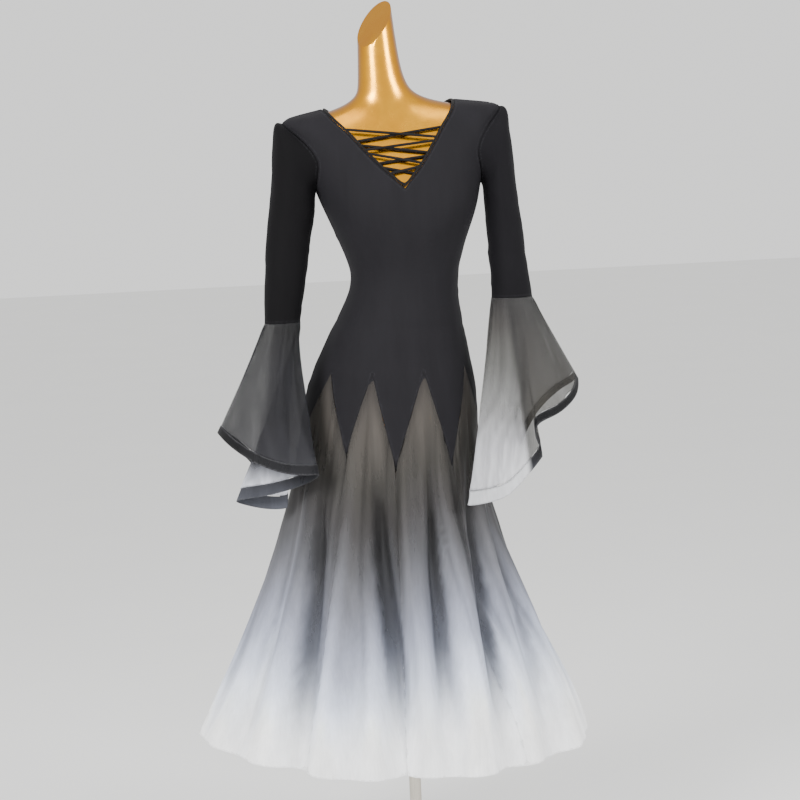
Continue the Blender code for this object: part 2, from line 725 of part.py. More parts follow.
def main():
    for old in list(bpy.data.objects):
        bpy.data.objects.remove(old)
    home = bpy.data.collections.new("ballroom_dress")
    bpy.context.scene.collection.children.link(home)
    knit = material("black_knit", BLACK, 0.75)
    organza = material("dipped_organza", GREY, 0.6)
    braid = material("stiff_braid", SMOKE, 0.6)
    gold = material("gold_plate", GOLD, 0.22, 1.0)
    steel = material("steel", STEEL, 0.35, 1.0)

    for front in (True, False):
        bodice(front, knit, home)
    sleeve("sleeve_right", -1, SLEEVE_RIGHT, knit, home)
    sleeve("sleeve_left", 1, SLEEVE_LEFT, knit, home)
    flounce(("flounce_right", "braid_right"), -1, SLEEVE_RIGHT, FLOUNCE_HEM_RIGHT, (organza, braid), home)
    flounce(("flounce_left", "braid_left"), 1, SLEEVE_LEFT, FLOUNCE_HEM_LEFT, (organza, braid), home)

    turns = [a for a, _ in zigzag_turns()]
    for i, (low, tip, high) in enumerate(zip(turns[::2], turns[1::2], turns[2::2])):
        gore(f"gore_{i + 1}", low, tip, high, organza, home)

    neck_binding(knit, home)
    for row in LACES:
        lace(row, knit, home)
    form_torso(gold, home)
    form_pole(steel, home)
    form_base(steel, home)


main()
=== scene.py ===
import math

import bpy
import numpy as np
from mathutils import Matrix, Vector, bvhtree, kdtree


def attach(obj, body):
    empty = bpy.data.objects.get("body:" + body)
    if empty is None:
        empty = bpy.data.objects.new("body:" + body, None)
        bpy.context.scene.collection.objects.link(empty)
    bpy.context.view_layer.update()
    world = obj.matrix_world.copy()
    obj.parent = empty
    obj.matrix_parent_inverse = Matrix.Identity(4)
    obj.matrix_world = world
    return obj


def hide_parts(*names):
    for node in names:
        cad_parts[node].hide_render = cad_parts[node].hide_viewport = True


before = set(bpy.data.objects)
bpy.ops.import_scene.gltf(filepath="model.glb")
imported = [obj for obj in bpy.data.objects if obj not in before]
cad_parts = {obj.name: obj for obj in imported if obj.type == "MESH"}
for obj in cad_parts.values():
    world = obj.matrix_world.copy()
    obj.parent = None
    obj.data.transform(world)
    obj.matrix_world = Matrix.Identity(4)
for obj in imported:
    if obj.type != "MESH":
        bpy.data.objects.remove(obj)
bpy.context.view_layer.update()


# ---- small helpers
def selectOnly(piece):
    bpy.ops.object.select_all(action="DESELECT")
    piece.select_set(True)
    bpy.context.view_layer.objects.active = piece


def linear(r, g, b):
    # a colour as seen on screen, 0 to 255, made linear
    return tuple((c / 255 / 12.92) if c <= 10 else ((c / 255 + 0.055) / 1.055) ** 2.4 for c in (r, g, b))


def opaque(colour):
    return (*linear(*colour), 1.0)


def smooth(x):
    x = np.clip(x, 0.0, 1.0)
    return x * x * (3 - 2 * x)


def fade(x, edge, run):
    # 0 up to the edge, easing to 1 a run beyond it; a negative run goes the other way
    return smooth((x - edge) / run)


def hump(x, middle, half):
    # 1 at the middle, dying away on both sides
    return np.exp(-(((x - middle) / half) ** 2))


def outward(out):
    # unit vectors away from an axis, and the angle round it from the wearer's front
    far = np.linalg.norm(out, axis=1) + 1e-6
    return out / far[:, None], np.arctan2(out[:, 0], -out[:, 1])


def normalsOf(piece):
    return np.array([v.normal for v in piece.data.vertices])


def pointsOf(piece):
    points = np.empty(len(piece.data.vertices) * 3)
    piece.data.vertices.foreach_get("co", points)
    return points.reshape(-1, 3)


def setPoints(piece, points):
    piece.data.vertices.foreach_set("co", points.astype(np.float32).ravel())
    piece.data.update()


def addMask(piece, name, values):
    mask = piece.data.attributes.new(name, "FLOAT", "POINT")
    filled = np.broadcast_to(values, len(piece.data.vertices)).astype(np.float32)
    mask.data.foreach_set("value", filled)


def addDyeAndShade(piece, colours):
    # each point's colour: the cloth's dye, and on some pieces painted shade and painted highlight laid
    # into it
    dyeAndShade = piece.data.color_attributes.new("dyeAndShade", "FLOAT_COLOR", "POINT")
    filled = np.ones((len(piece.data.vertices), 4), np.float32)
    filled[:, :3] = colours
    dyeAndShade.data.foreach_set("color", filled.ravel())


def blendRows(z, rows):
    # colours by height: rows of (height, colour), lowest first
    heights = [row[0] for row in rows]
    colours = np.array([linear(*row[1]) for row in rows])
    return np.stack([np.interp(z, heights, colours[:, i]) for i in range(3)], axis=1)


def waver(a, b, seed):
    # a slow uneven wave, between about -1 and 1, that never repeats within the dress
    total = np.zeros_like(a)
    for i in range(4):
        k = 1.0 + 0.83 * i
        total += np.sin(k * a + 1.7 * seed + 2.1 * i + 0.9 * np.sin(0.6 * k * b + seed + i)) / (1.2 + i)
    return total / 1.75


def narrowEdges(mesh, wall):
    # the edges of faces no wider than the cloth is thick: the cut rims of the piece
    found = set()
    ends = {tuple(sorted(e.vertices)): e.index for e in mesh.edges}
    for face in mesh.polygons:
        lengths = [(mesh.vertices[a].co - mesh.vertices[b].co).length for a, b in face.edge_keys]
        width = min(lengths) if len(lengths) == 4 else face.area * 2 / max(lengths)
        if len(lengths) in (3, 4) and width < wall:
            found.update(ends[tuple(sorted(key))] for key in face.edge_keys)
    return found


rimLook = {"sharp": 60.0, "wall": 0.0034, "spotsPerEdge": 6, "joinDegrees": (50, 70), "smoothDegrees": 45}


# A piece that starts as a copy of its CAD solid: its triangles are joined to quads, its sharp
# rims creased, and the rest rounded off. With no wall thickness, every sharp edge is creased.
def pieceFrom(node, name, levels=2, sharp=rimLook["sharp"], wall=rimLook["wall"]):
    piece = bpy.data.objects.new(name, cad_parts[node].data.copy())
    bpy.context.scene.collection.objects.link(piece)
    piece.data.materials.clear()
    selectOnly(piece)
    if piece.data.has_custom_normals:
        bpy.ops.mesh.customdata_custom_splitnormals_clear()
    bpy.ops.object.mode_set(mode="EDIT")
    bpy.ops.mesh.select_all(action="SELECT")
    bpy.ops.mesh.remove_doubles(threshold=1e-6)
    faceTurn, shapeTurn = (math.radians(a) for a in rimLook["joinDegrees"])
    bpy.ops.mesh.tris_convert_to_quads(face_threshold=faceTurn, shape_threshold=shapeTurn)
    bpy.ops.mesh.select_mode(type="EDGE")
    bpy.ops.mesh.select_all(action="DESELECT")
    bpy.ops.mesh.edges_select_sharp(sharpness=math.radians(sharp))
    bpy.ops.object.mode_set(mode="OBJECT")
    narrow = narrowEdges(piece.data, wall) if wall else set()
    layers, steps = piece.data.attributes, rimLook["spotsPerEdge"]
    crease = layers.get("crease_edge") or layers.new("crease_edge", "FLOAT", "EDGE")
    rim = []
    for edge in piece.data.edges:
        if edge.select and (wall is None or edge.index in narrow):
            crease.data[edge.index].value = 1.0
            a, b = (piece.data.vertices[i].co for i in edge.vertices)
            rim += [a.lerp(b, t / steps) for t in range(steps)]
    softened = piece.modifiers.new("softened", "SUBSURF")
    softened.levels = softened.render_levels = levels
    bpy.ops.object.modifier_apply(modifier="softened")
    bpy.ops.object.shade_smooth_by_angle(angle=math.radians(rimLook["smoothDegrees"]))
    return piece, rim


def treeOf(spots):
    tree = kdtree.KDTree(len(spots))
    for i, spot in enumerate(spots):
        tree.insert(spot, i)
    tree.balance()
    return tree


def addRimMask(piece, rim):
    # how far each point lies from the piece's sewn or hemmed rim, in metres
    tree = treeOf(rim)
    far = np.array([tree.find(v.co)[2] for v in piece.data.vertices])
    addMask(piece, "rim", far)
    return far


# Draws a piece's rim halfway to the neighbours it is sewn to, and lets the cloth behind follow.
# left is the gap that stays between the two; below zero they overlap.
def closeSeams(points, rim, neighbours, reach, widest, left=0.0003):
    own = treeOf(rim)
    others = treeOf([p for other in neighbours for p in other])
    for i, point in enumerate(points):
        p, _, far = own.find(Vector(point))
        if far > reach:
            continue
        q, _, gap = others.find(p)
        if max(left, 0.0002) < gap < widest:
            share = 0.5 * (1 - left / gap) * (1 - far / reach) ** 2 * (1 + 2 * far / reach)
            points[i] += share * np.array(q - p)
    return points


def dress(piece, node, material):
    piece.data.materials.append(material)
    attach(piece, "root")
    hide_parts(node)


# ---- shared shader groups
def groupOf(name, inputs, outputs):
    group = bpy.data.node_groups.new(name, "ShaderNodeTree")
    for label, kind, value in inputs:
        socket = group.interface.new_socket(name=label, in_out="INPUT", socket_type="NodeSocket" + kind)
        socket.default_value = value
    for label, kind in outputs:
        group.interface.new_socket(name=label, in_out="OUTPUT", socket_type="NodeSocket" + kind)
    return group, group.nodes.new("NodeGroupInput"), group.nodes.new("NodeGroupOutput")


def mathNode(tree, operation, a, b=None, c=None):
    node = tree.nodes.new("ShaderNodeMath")
    node.operation = operation
    for i, value in enumerate((a, b, c)):
        if isinstance(value, bpy.types.NodeSocket):
            tree.links.new(value, node.inputs[i])
        elif value is not None:
            node.inputs[i].default_value = value
    return node.outputs[0]


def mapRange(tree, value, low, high, toLow, toHigh):
    node = tree.nodes.new("ShaderNodeMapRange")
    tree.links.new(value, node.inputs["Value"])
    for label, number in (("From Min", low), ("From Max", high), ("To Min", toLow), ("To Max", toHigh)):
        if isinstance(number, bpy.types.NodeSocket):
            tree.links.new(number, node.inputs[label])
        else:
            node.inputs[label].default_value = number
    return node.outputs["Result"]


def noiseAt(tree, stretch, scale, detail=3.0):
    coords = tree.nodes.new("ShaderNodeTexCoord")
    mapping = tree.nodes.new("ShaderNodeMapping")
    mapping.inputs["Scale"].default_value = stretch
    noise = tree.nodes.new("ShaderNodeTexNoise")
    noise.inputs["Scale"].default_value = scale
    noise.inputs["Detail"].default_value = detail
    tree.links.new(coords.outputs["Object"], mapping.inputs["Vector"])
    tree.links.new(mapping.outputs["Vector"], noise.inputs["Vector"])
    return noise.outputs["Fac"]


def tintMix(tree, factor, a, b):
    node = tree.nodes.new("ShaderNodeMix")
    node.data_type = "RGBA"
    for socket, value in ((node.inputs[0], factor), (node.inputs[6], a), (node.inputs[7], b)):
        if isinstance(value, bpy.types.NodeSocket):
            tree.links.new(value, socket)
        else:
            socket.default_value = value
    return node.outputs[2]


# Noises are given as stretch, scale and detail. Most of a noise's values lie in noiseSpan.
noiseSpan = (0.3, 0.7)
threadLook = {"streak": ((1.0, 1.0, 0.04), 230.0, 2.0), "grain": ((1.0, 1.0, 1.0), 900.0, 2.0),
              "broad": ((1.0, 1.0, 0.12), 38.0, 4.0), "broadShare": 0.75}


# Threads: streaks along the cloth's length crossed by a finer grain, as a height and a mask.
def makeThreads():
    group, given, made = groupOf(
        "threads",
        [("Streak", "Float", 0.5), ("Grain", "Float", 0.5)],
        [("Height", "Float"), ("Mask", "Float")],
    )
    streak, grain, broad = (noiseAt(group, *threadLook[label]) for label in ("streak", "grain", "broad"))
    height = mathNode(group, "MULTIPLY", streak, given.outputs["Streak"])
    height = mathNode(group, "MULTIPLY_ADD", grain, given.outputs["Grain"], height)
    mask = mathNode(group, "MULTIPLY", streak, 1 - threadLook["broadShare"])
    mask = mathNode(group, "MULTIPLY_ADD", broad, threadLook["broadShare"], mask)
    group.links.new(height, made.inputs["Height"])
    group.links.new(mask, made.inputs["Mask"])
    return group


seamLook = {"turnedFrom": 0.5, "dash": ((1.0, 1.0, 1.0), 520.0, 0.0), "dashSpan": (0.42, 0.55)}


# A sewn rim: one where the cloth is turned under, and a finer line of stitches inside it.
def makeSewnRim():
    group, given, made = groupOf(
        "sewnRim",
        [("Width", "Float", 0.005), ("Stitch", "Float", 0.0022)],
        [("Turned", "Float"), ("Stitches", "Float")],
    )
    rim = group.nodes.new("ShaderNodeAttribute")
    rim.attribute_name = "rim"
    start = mathNode(group, "MULTIPLY", given.outputs["Width"], seamLook["turnedFrom"])
    turned = mapRange(group, rim.outputs["Fac"], start, given.outputs["Width"], 1.0, 0.0)
    inside = mathNode(group, "SUBTRACT", rim.outputs["Fac"], given.outputs["Width"])
    line = mapRange(group, mathNode(group, "ABSOLUTE", inside), 0.0, given.outputs["Stitch"], 1.0, 0.0)
    dashes = mapRange(group, noiseAt(group, *seamLook["dash"]), *seamLook["dashSpan"], 0.0, 1.0)
    group.links.new(turned, made.inputs["Turned"])
    group.links.new(mathNode(group, "MULTIPLY", line, dashes), made.inputs["Stitches"])
    return group


threads = makeThreads()
sewnRim = makeSewnRim()


def newMaterial(name, **values):
    material = bpy.data.materials.new(name)
    material.use_nodes = True
    shader = material.node_tree.nodes["Principled BSDF"]
    for label, value in values.items():
        shader.inputs[label.replace("_", " ")].default_value = value
    return material, material.node_tree, shader


def bumpInto(tree, shader, height, strength, distance):
    # threads and dents too fine to model
    bump = tree.nodes.new("ShaderNodeBump")
    bump.inputs["Strength"].default_value = strength
    bump.inputs["Distance"].default_value = distance
    tree.links.new(height, bump.inputs["Height"])
    tree.links.new(bump.outputs["Normal"], shader.inputs["Normal"])


def placeGroup(tree, group, **values):
    node = tree.nodes.new("ShaderNodeGroup")
    node.node_tree = group
    for label, value in values.items():
        node.inputs[label].default_value = value
    return node


clothLook = {"sheenRough": 0.4, "turnedHeight": 0.8, "stitchHeight": 0.5, "uneven": 0.06,
             "turnedSolid": 0.7}


# Cloth whose colour and sheerness are set point by point, with its threads and sewn rim.
def makeCloth(name, settings):
    material, tree, shader = newMaterial(
        name,
        Roughness=settings["rough"],
        Sheen_Weight=settings["sheen"],
        Sheen_Roughness=clothLook["sheenRough"],
        Specular_IOR_Level=settings["gloss"],
    )
    shader.inputs["Sheen Tint"].default_value = opaque(settings["sheenTint"])
    weave = placeGroup(tree, threads, Streak=settings["streak"], Grain=settings["grain"])
    rim = placeGroup(tree, sewnRim, Width=settings["rimWidth"], Stitch=settings["stitch"])
    dyeAndShade = tree.nodes.new("ShaderNodeAttribute")
    dyeAndShade.attribute_name = "dyeAndShade"
    mottle = settings["mottle"]
    tone = mapRange(tree, weave.outputs["Mask"], *noiseSpan, 1.0 - mottle, 1.0 + mottle)
    base = tree.nodes.new("ShaderNodeVectorMath")
    base.operation = "SCALE"
    tree.links.new(dyeAndShade.outputs["Color"], base.inputs[0])
    tree.links.new(tone, base.inputs["Scale"])
    turned, stitches = rim.outputs["Turned"], rim.outputs["Stitches"]
    shade = mathNode(tree, "MULTIPLY", turned, settings["rimShade"])
    colour = tintMix(tree, shade, base.outputs[0], opaque(settings["rimTint"]))
    shade = mathNode(tree, "MULTIPLY", stitches, settings["stitchShade"])
    colour = tintMix(tree, shade, colour, opaque(settings["stitchTint"]))
    tree.links.new(colour, shader.inputs["Base Color"])
    height = mathNode(tree, "MULTIPLY_ADD", turned, clothLook["turnedHeight"], weave.outputs["Height"])
    height = mathNode(tree, "MULTIPLY_ADD", stitches, clothLook["stitchHeight"], height)
    bumpInto(tree, shader, height, settings["bump"], settings["bumpDepth"])
    if settings["sheer"]:
        sheer = tree.nodes.new("ShaderNodeAttribute")
        sheer.attribute_name = "sheer"
        uneven = clothLook["uneven"]
        spread = mapRange(tree, weave.outputs["Mask"], *noiseSpan, -uneven, uneven)
        solid = mathNode(tree, "ADD", sheer.outputs["Fac"], spread)
        rimSolid = mathNode(tree, "MULTIPLY", turned, clothLook["turnedSolid"])
        tree.links.new(mathNode(tree, "MAXIMUM", solid, rimSolid), shader.inputs["Alpha"])
        material.surface_render_method = "BLENDED"
    return material


knitLook = {"rough": 0.78, "sheen": 0.03, "gloss": 0.10, "sheenTint": (190, 190, 200), "streak": 0.3,
            "grain": 0.9, "mottle": 0.10, "rimWidth": 0.0045, "stitch": 0.0016, "rimShade": 0.25,
            "rimTint": (12, 12, 14), "stitchShade": 0.22, "stitchTint": (60, 60, 64), "bump": 0.35,
            "bumpDepth": 0.0006, "sheer": False}
skirtLook = {"rough": 0.62, "sheen": 0.07, "gloss": 0.16, "sheenTint": (225, 228, 235), "streak": 0.9,
             "grain": 0.15, "mottle": 0.10, "rimWidth": 0.0030, "stitch": 0.0012, "rimShade": 0.18,
             "rimTint": (60, 58, 55), "stitchShade": 0.30, "stitchTint": (40, 40, 42), "bump": 0.18,
             "bumpDepth": 0.0006, "sheer": True}
cuffLook = dict(skirtLook, mottle=0.08, rimWidth=0.0025, rimShade=0.25, rimTint=(30, 30, 32))
braidLook = {"rough": 0.55, "sheen": 0.04, "gloss": 0.12, "sheenTint": (200, 200, 205), "streak": 0.5,
             "grain": 1.0, "mottle": 0.16, "rimWidth": 0.0020, "stitch": 0.0012, "rimShade": 0.45,
             "rimTint": (70, 70, 73), "stitchShade": 0.35, "stitchTint": (90, 90, 92), "bump": 0.7,
             "bumpDepth": 0.0008, "sheer": True}
knitCloth = makeCloth("blackKnit", knitLook)
skirtCloth = makeCloth("dippedOrganza", skirtLook)
cuffCloth = makeCloth("cuffOrganza", cuffLook)
braidCloth = makeCloth("horsehairBraid", braidLook)
print("cloth materials made")

goldLook = {"tint": (240, 176, 46), "deepTint": (214, 140, 28), "edgeShadeTint": (128, 74, 18),
            "rough": (0.21, 0.28), "blend": 0.45, "edge": (0.12, 0.80), "bump": (0.10, 0.004),
            "cloud": ((1.0, 1.0, 0.35), 26.0, 3.0), "wear": ((1.0, 1.0, 1.0), 70.0, 2.0),
            "dents": ((1.0, 1.0, 0.6), 22.0, 2.0)}
goldForm, tree, shader = newMaterial("goldPlate", Metallic=1.0)
cloudy = noiseAt(tree, *goldLook["cloud"])
lacquer = tintMix(tree, cloudy, opaque(goldLook["tint"]), opaque(goldLook["deepTint"]))
# painted shade: the plating darkens towards the form's outline as seen from the camera
facing = tree.nodes.new("ShaderNodeLayerWeight")
facing.inputs["Blend"].default_value = goldLook["blend"]
away = mapRange(tree, facing.outputs["Facing"], *goldLook["edge"], 0.0, 1.0)
tree.links.new(tintMix(tree, away, lacquer, opaque(goldLook["edgeShadeTint"])), shader.inputs["Base Color"])
wear = mapRange(tree, noiseAt(tree, *goldLook["wear"]), *noiseSpan, *goldLook["rough"])
tree.links.new(wear, shader.inputs["Roughness"])
bumpInto(tree, shader, noiseAt(tree, *goldLook["dents"]), *goldLook["bump"])

steelLook = {"tint": (178, 172, 160), "brightTint": (214, 208, 196), "rough": (0.26, 0.42),
             "lines": ((1.0, 1.0, 0.02), 500.0, 2.0), "bump": (0.12, 0.0004)}
steel, tree, shader = newMaterial("brushedSteel", Metallic=1.0)
lines = noiseAt(tree, *steelLook["lines"])
brushed = tintMix(tree, lines, opaque(steelLook["tint"]), opaque(steelLook["brightTint"]))
tree.links.new(brushed, shader.inputs["Base Color"])
tree.links.new(mapRange(tree, lines, *noiseSpan, *steelLook["rough"]), shader.inputs["Roughness"])
bumpInto(tree, shader, lines, *steelLook["bump"])

cordLook = {"tint": (9, 8, 9), "threadTint": (30, 28, 28), "rough": 0.7, "sheen": 0.02, "gloss": 0.12,
            "twist": ((1.0, 1.0, 1.0), 700.0, 2.0), "bump": (0.5, 0.0006)}
trim, tree, shader = newMaterial("spaghettiCord", Roughness=cordLook["rough"],
                                 Sheen_Weight=cordLook["sheen"], Specular_IOR_Level=cordLook["gloss"])
twist = noiseAt(tree, *cordLook["twist"])
twisted = tintMix(tree, twist, opaque(cordLook["tint"]), opaque(cordLook["threadTint"]))
tree.links.new(twisted, shader.inputs["Base Color"])
bumpInto(tree, shader, twist, *cordLook["bump"])
print("form, stand and trim materials made")


# ---- every cloth piece, before its creases, so that each can find its neighbours' rims
sewnNodes = {f"gore_{i}": f"gore{i}" for i in range(1, 9)}
sewnNodes.update(bodice_front="bodiceFront", bodice_back="bodiceBack", sleeve_right="sleeveRight",
                 sleeve_left="sleeveLeft", flounce_right="flounceRight", flounce_left="flounceLeft",
                 braid_right="braidRight", braid_left="braidLeft")
sewn = {node: pieceFrom(node, name) for node, name in sewnNodes.items()}
rims = {node: made[1] for node, made in sewn.items()}
print("cloth copied")

# ---- gold form, a little slimmer where the bodice covers it
# each inset is its depth, the height that it begins at and the run down to its full depth
torsoLook = {"sharp": 50.0, "insets": ((0.0016, 1.345, 0.05), (0.0100, 1.00, 0.08))}
torso = pieceFrom("form_torso", "formTorso", sharp=torsoLook["sharp"], wall=None)[0]
points = pointsOf(torso)
inset = sum(deep * fade(points[:, 2], top, -run) for deep, top, run in torsoLook["insets"])
setPoints(torso, points - inset[:, None] * normalsOf(torso))
dress(torso, "form_torso", goldForm)
torsoTree = bvhtree.BVHTree.FromPolygons([v.co for v in torso.data.vertices],
                                         [tuple(f.vertices) for f in torso.data.polygons])
print("form made")


fitLook = {"reach": 0.010, "lowest": 0.93, "innerGap": 0.0007, "outerGap": 0.0021}


def restOn(piece, points):
    # lifts the cloth's inner wall, and its outer one with it, clear of the form
    for i, vertex in enumerate(piece.data.vertices):
        near, away = torsoTree.find_nearest(Vector(points[i]), fitLook["reach"])[:2]
        if near is None or near.z < fitLook["lowest"]:
            continue
        height = (Vector(points[i]) - near).dot(away)
        least = fitLook["outerGap" if vertex.normal.dot(away) > 0 else "innerGap"]
        if height < least:
            points[i] += np.array(away) * (least - height)
    return points


# ---- skirt of eight gores
def skirtAngle(points):
    # degrees round the dress from the wearer's front, towards the wearer's left
    return np.degrees(np.arctan2(points[:, 0], -points[:, 1]))


skirtFolds = {"centre": (0.0, -0.01), "broad": 0.0046, "fine": 0.0020, "drag": 0.0018, "crease": 0.0026,
              "creaseWidth": 0.17}
skirtSeam = {"reach": 0.020, "widest": 0.011, "left": -0.0002}


def creaseLines(turn, z):
    # long, wandering creases: near 1 along each, 0 between them
    wander = waver(turn * 9 + 0.5 * np.sin(z * 9 + 1.3), z * 1.6, 5.1)
    return hump(wander, 0, skirtFolds["creaseWidth"]) * fade(z, 0.30, 0.22) * fade(z, 1.0, -0.14)


# Finer folds and soft creases between the skirt's main ones, the same on both walls.
def skirtCreases(points):
    z = points[:, 2]
    out = points[:, :2] - skirtFolds["centre"]
    radius = np.linalg.norm(out, axis=1)
    turn = np.arctan2(out[:, 0], -out[:, 1])
    move = waver(turn * 11, z * 3.0, 0.4) * skirtFolds["broad"] * fade(z, 0.92, -0.55)
    move += waver(turn * 19, z * 4.0, 2.3) * skirtFolds["fine"] * fade(z, 0.80, -0.45)
    move -= creaseLines(turn, z) * skirtFolds["crease"]
    drag = waver(z * 24 + turn * 5, turn * 3, 1.1) * skirtFolds["drag"]
    move += drag * fade(z, 1.00, -0.10) * fade(z, 0.50, 0.25)
    return out / radius[:, None] * move[:, None]


skirtDye = [
    (0.23, (254, 254, 254)), (0.33, (250, 251, 253)), (0.39, (232, 237, 247)), (0.44, (198, 205, 222)),
    (0.50, (158, 163, 180)), (0.56, (128, 131, 144)), (0.62, (104, 105, 112)), (0.68, (80, 80, 83)),
    (0.75, (62, 60, 60)), (0.82, (58, 56, 53)), (0.92, (70, 66, 62)), (1.02, (54, 50, 48)),
]
skirtSheer = ([0.23, 0.55, 0.75, 0.95, 1.03], [0.80, 0.80, 0.84, 0.88, 0.94])


# the skirt's height, cut into rows, and its way round, cut into columns
valleyGrid = {"low": 0.23, "tall": 0.8, "rows": 60, "columns": 180, "around": 7, "near": 1}


def gridSpots(points):
    rows = (points[:, 2] - valleyGrid["low"]) / valleyGrid["tall"] * valleyGrid["rows"]
    return rows, (skirtAngle(points) % 360) / 360 * valleyGrid["columns"]


def rollMean(radius, reach):
    return sum(np.roll(radius, k, axis=1) for k in range(-reach, reach + 1)) / (2 * reach + 1)


def valleyMap():
    # how far the skirt stands in or out of its own average there, by angle and height
    every = np.concatenate([pointsOf(sewn[f"gore_{i}"][0]) for i in range(1, 9)])
    floors, steps = valleyGrid["rows"], valleyGrid["columns"]
    row, column = gridSpots(every)
    spots = (np.clip(row, 0, floors - 1).astype(int), column.astype(int) % steps)
    total, count = np.zeros((floors, steps)), np.zeros((floors, steps))
    np.add.at(total, spots, np.linalg.norm(every[:, :2], axis=1))
    np.add.at(count, spots, 1)
    radius = np.where(count > 0, total / np.maximum(count, 1), np.nan)
    for line in radius:
        full = np.flatnonzero(~np.isnan(line))
        if len(full):
            line[:] = np.interp(np.arange(steps), full, line[full], period=steps)
    radius = np.nan_to_num(radius, nan=np.nanmean(radius))
    return rollMean(radius, valleyGrid["near"]) - rollMean(radius, valleyGrid["around"])


valleys = valleyMap()


def valleyAt(points):
    floors, steps = valleys.shape
    row, column = (spot - 0.5 for spot in gridSpots(points))
    row = np.clip(row, 0, floors - 1.001)
    c, r = np.floor(column).astype(int), np.floor(row).astype(int)
    fc, fr = column - c, row - r
    low = valleys[r, c % steps] * (1 - fc) + valleys[r, (c + 1) % steps] * fc
    high = valleys[r + 1, c % steps] * (1 - fc) + valleys[r + 1, (c + 1) % steps] * fc
    return low * (1 - fr) + high * fr


# crease, rim and valley set painted shade in the creases, along the seams and in the valleys; the last
# entry sets a painted highlight on the ridges
skirtTones = {"bleed": (0.040, 0.022), "streak": 0.20, "patch": 0.16, "crease": 0.26, "rim": 0.34,
              "rimWidth": 0.013, "valley": 0.72, "ridgeHighlight": 0.12}


# The dipped dye by height, with an uneven edge and streaks, and painted shade in the creases, along the
# seams and in the valleys, with a painted highlight on the ridges.
def skirtColours(points, fromRim, valley):
    z, turn, tones = points[:, 2], np.radians(skirtAngle(points)), skirtTones
    broad, narrow = tones["bleed"]
    bleed = broad * waver(turn * 2.2, z * 2, 0.9) + narrow * waver(turn * 15, z * 2, 2.7)
    colours = blendRows(z + bleed * fade(z, 0.25, 0.2), skirtDye)
    streaks = waver(turn * 21, z * 0.7, 1.9) * fade(z, 1.00, -0.2) * fade(z, 0.25, 0.3)
    shade = 1 + tones["streak"] * streaks
    shade += tones["patch"] * waver(turn * 8, z * 7, 3.6) * fade(z, 0.40, 0.3)
    # painted shade along the creases
    shade -= tones["crease"] * creaseLines(turn, z)
    # painted shade along the seams, on the upper skirt
    shade *= 1 - tones["rim"] * smooth(1 - fromRim / tones["rimWidth"]) * fade(z, 0.55, 0.2)
    # painted shade in the valleys between the folds, and a painted highlight on their ridges
    deep = fade(valley, -0.001, -0.011) * fade(z, 0.30, 0.22) * tones["valley"]
    shade *= 1 - deep + tones["ridgeHighlight"] * smooth(valley / 0.010) * fade(z, 0.95, -0.1)
    return np.clip(colours * shade[:, None], 0, 1)


for number in range(1, 9):
    gore, rim = sewn[f"gore_{number}"]
    fromRim = addRimMask(gore, rim)
    points = pointsOf(gore)
    valley = valleyAt(points)
    beside = [rims[f"gore_{(number - 2) % 8 + 1}"], rims[f"gore_{number % 8 + 1}"],
              rims["bodice_front"], rims["bodice_back"]]
    points = closeSeams(points, rim, beside, **skirtSeam)
    points[:, :2] += skirtCreases(points)
    setPoints(gore, points)
    addDyeAndShade(gore, skirtColours(points, fromRim, valley))
    addMask(gore, "sheer", np.interp(points[:, 2], *skirtSheer))
    dress(gore, f"gore_{number}", skirtCloth)
print("gores made")

# ---- bodice, two knit panels
bodiceLook = {"front": (27, 26, 29), "back": (25, 24, 27)}
bodiceFolds = {"waist": 0.0013, "chest": 0.0012, "hips": 0.0012}


def bodiceCreases(points):
    # small pulls in the knit, across the waist, up to the arms and round the hips
    x, z = points[:, 0], points[:, 2]
    waist = waver(z * 95 + 0.9 * np.sin(x * 14), x * 9, 0.7) * bodiceFolds["waist"]
    chest = waver(z * 60 - np.abs(x) * 55, x * 7, 2.9) * bodiceFolds["chest"]
    hips = waver(z * 45 + x * 16, x * 12, 4.4) * bodiceFolds["hips"]
    move = waist * hump(z, 1.075, 0.055) * fade(z, 0.99, 0.05)
    move += chest * hump(z, 1.20, 0.05) * fade(np.abs(x), 0.05, 0.06)
    move += hips * hump(z, 0.96, 0.07)
    return outward(points[:, :2])[0] * move[:, None]


# the seams' angles, how far from one its low point is looked for, and how that point is moved
notchLook = {"seams": (270, 328, 0, 38, 90, 142, 180, 218), "window": 14, "below": 0.92,
             "reach": 0.020, "inward": 0.0012, "drop": 0.0125}


def coverNotches(points, rim):
    # each of the zigzag's points runs a little way down behind the two gores that meet there
    edge = np.array([tuple(p) for p in rim])
    turn = skirtAngle(edge) % 360
    for seam in notchLook["seams"]:
        off = np.abs((turn - seam + 180) % 360 - 180)
        near = edge[(off < notchLook["window"]) & (edge[:, 2] < notchLook["below"])]
        if len(near) == 0:
            continue
        tip = near[near[:, 2].argmin()]
        away = tip[:2] - skirtFolds["centre"]
        x, y = away / math.hypot(*away) * notchLook["inward"]
        share = smooth(1 - np.linalg.norm(points - tip, axis=1) / notchLook["reach"])
        points = points + share[:, None] * np.array([-x, -y, -notchLook["drop"]])
    return points


for side, node in (("Front", "bodice_front"), ("Back", "bodice_back")):
    panel, rim = sewn[node]
    addRimMask(panel, rim)
    points = pointsOf(panel)
    other = "bodice_back" if side == "Front" else "bodice_front"
    beside = [rims[other], rims["sleeve_right"], rims["sleeve_left"]]
    beside += [rims[f"gore_{i}"] for i in range(1, 9)]
    points = closeSeams(points, rim, beside, **skirtSeam)
    points = coverNotches(points, rim)
    points[:, :2] += bodiceCreases(points)
    points = restOn(panel, points)
    setPoints(panel, points)
    addDyeAndShade(panel, linear(*bodiceLook[side.lower()]))
    dress(panel, node, knitCloth)
print("bodice made")
